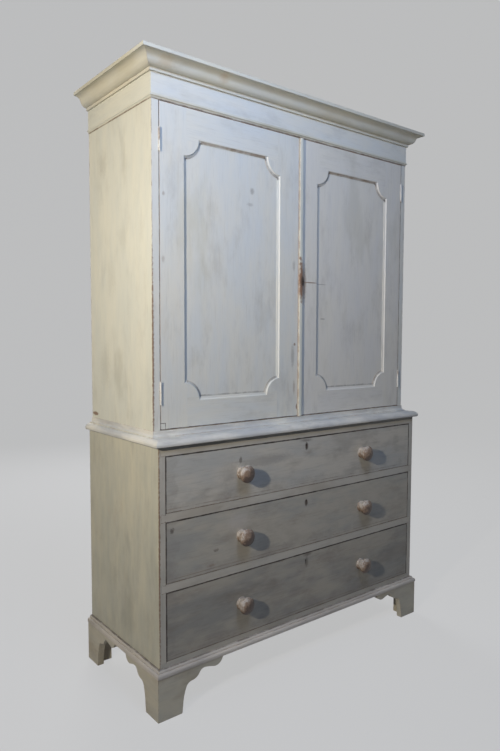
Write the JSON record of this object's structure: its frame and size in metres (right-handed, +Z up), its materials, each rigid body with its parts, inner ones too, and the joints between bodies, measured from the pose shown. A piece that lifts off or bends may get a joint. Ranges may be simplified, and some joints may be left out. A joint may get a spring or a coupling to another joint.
{
  "type": "linen press",
  "caption": "Tall two-stage painted cupboard: panelled doors with indented corners over long drawers, on scalloped bracket feet under a cyma cornice.",
  "frame": {"origin": "on the floor, under the middle of the overall width and depth", "axes": "+Z up, +X to the right as one faces the doors, +Y from the front to the back"},
  "size_m": [1.282, 0.524, 1.977],
  "materials": {
    "painted_case": "old cream paint under a thin cool grey wash, worn to brown wood at the edges",
    "painted_moulding": "off-white paint, rubbed back on the high points",
    "painted_cornice": "olive-cream paint with a dusty grey wash",
    "painted_door": "cool grey-blue wash brushed upright over cream",
    "painted_drawer": "cool grey wash brushed level over cream",
    "worn_knob": "cream paint worn through to brown wood by hands",
    "bare_pine": "unpainted old pine, dry and matt",
    "hinge_iron": "iron, painted over where it shows",
    "lock_iron": "dark iron with a little rust"
  },
  "bodies": {
    "case": {"chest_side_left": "painted_case", "chest_side_right": "painted_case", "drawer_rails": "painted_case", "cupboard_side_left": "painted_case", "cupboard_side_right": "painted_case", "front_foot_left": "painted_case", "front_foot_right": "painted_case", "rear_foot_left": "painted_case", "rear_foot_right": "painted_case", "frieze": "painted_case", "chest_top": "painted_moulding", "plinth_moulding": "painted_moulding", "waist_cove": "painted_moulding", "frieze_bead": "painted_moulding", "cornice_moulding": "painted_cornice", "chest_bottom": "bare_pine", "chest_back_boards": "bare_pine", "drawer_guides": "bare_pine", "cupboard_bottom": "bare_pine", "cupboard_top": "bare_pine", "cupboard_back_boards": "bare_pine", "shelves": "bare_pine", "shelf_bearers": "bare_pine", "door_stops": "bare_pine", "cornice_top": "bare_pine", "case_hinge_leaves": "hinge_iron"},
    "left_door": {"left_door_stiles": "painted_door", "left_door_rails": "painted_door", "left_door_panel": "painted_door", "left_door_corner_blocks": "painted_door", "left_door_hinge_leaves": "hinge_iron", "left_door_bolt_housings": "lock_iron"},
    "right_door": {"right_door_cover_strip": "painted_moulding", "right_door_stiles": "painted_door", "right_door_rails": "painted_door", "right_door_panel": "painted_door", "right_door_corner_blocks": "painted_door", "right_door_hinge_leaves": "hinge_iron", "right_door_lock": "lock_iron"},
    "bottom_drawer": {"bottom_drawer_front": "painted_drawer", "bottom_drawer_knobs": "worn_knob", "bottom_drawer_box": "bare_pine", "bottom_drawer_bottom": "bare_pine", "bottom_drawer_lock": "lock_iron"},
    "middle_drawer": {"middle_drawer_front": "painted_drawer", "middle_drawer_knobs": "worn_knob", "middle_drawer_box": "bare_pine", "middle_drawer_bottom": "bare_pine", "middle_drawer_lock": "lock_iron"},
    "top_drawer": {"top_drawer_front": "painted_drawer", "top_drawer_knobs": "worn_knob", "top_drawer_box": "bare_pine", "top_drawer_bottom": "bare_pine", "top_drawer_lock": "lock_iron"},
    "bottom_drawer_lock_bolt": {"bottom_drawer_lock_bolt": "lock_iron"},
    "middle_drawer_lock_bolt": {"middle_drawer_lock_bolt": "lock_iron"},
    "top_drawer_lock_bolt": {"top_drawer_lock_bolt": "lock_iron"},
    "right_door_lock_bolt": {"right_door_lock_bolt": "lock_iron"},
    "left_door_upper_bolt": {"left_door_upper_bolt": "lock_iron"},
    "left_door_lower_bolt": {"left_door_lower_bolt": "lock_iron"}
  },
  "joints": [
    {"name": "left_door_hinge", "type": "hinge", "parent": "case", "child": "left_door", "pos_m": [-0.56225, -0.1697, 1.3595], "axis": [0, 0, -1], "range_deg": [0, 170]},
    {"name": "right_door_hinge", "type": "hinge", "parent": "case", "child": "right_door", "pos_m": [0.56225, -0.1697, 1.3595], "axis": [0, 0, 1], "range_deg": [0, 170]},
    {"name": "bottom_drawer_slide", "type": "slide", "parent": "case", "child": "bottom_drawer", "axis": [0, -1, 0], "range_m": [0, 0.35]},
    {"name": "middle_drawer_slide", "type": "slide", "parent": "case", "child": "middle_drawer", "axis": [0, -1, 0], "range_m": [0, 0.35]},
    {"name": "top_drawer_slide", "type": "slide", "parent": "case", "child": "top_drawer", "axis": [0, -1, 0], "range_m": [0, 0.35]},
    {"name": "bottom_drawer_lock_throw", "type": "slide", "parent": "bottom_drawer", "child": "bottom_drawer_lock_bolt", "axis": [0, 0, 1], "range_m": [0, 0.008]},
    {"name": "middle_drawer_lock_throw", "type": "slide", "parent": "middle_drawer", "child": "middle_drawer_lock_bolt", "axis": [0, 0, 1], "range_m": [0, 0.008]},
    {"name": "top_drawer_lock_throw", "type": "slide", "parent": "top_drawer", "child": "top_drawer_lock_bolt", "axis": [0, 0, 1], "range_m": [0, 0.008]},
    {"name": "right_door_lock_throw", "type": "slide", "parent": "right_door", "child": "right_door_lock_bolt", "axis": [-1, 0, 0], "range_m": [0, 0.008]},
    {"name": "left_door_upper_bolt_throw", "type": "slide", "parent": "left_door", "child": "left_door_upper_bolt", "axis": [0, 0, 1], "range_m": [0, 0.014]},
    {"name": "left_door_lower_bolt_throw", "type": "slide", "parent": "left_door", "child": "left_door_lower_bolt", "axis": [0, 0, -1], "range_m": [0, 0.014]}
  ]
}
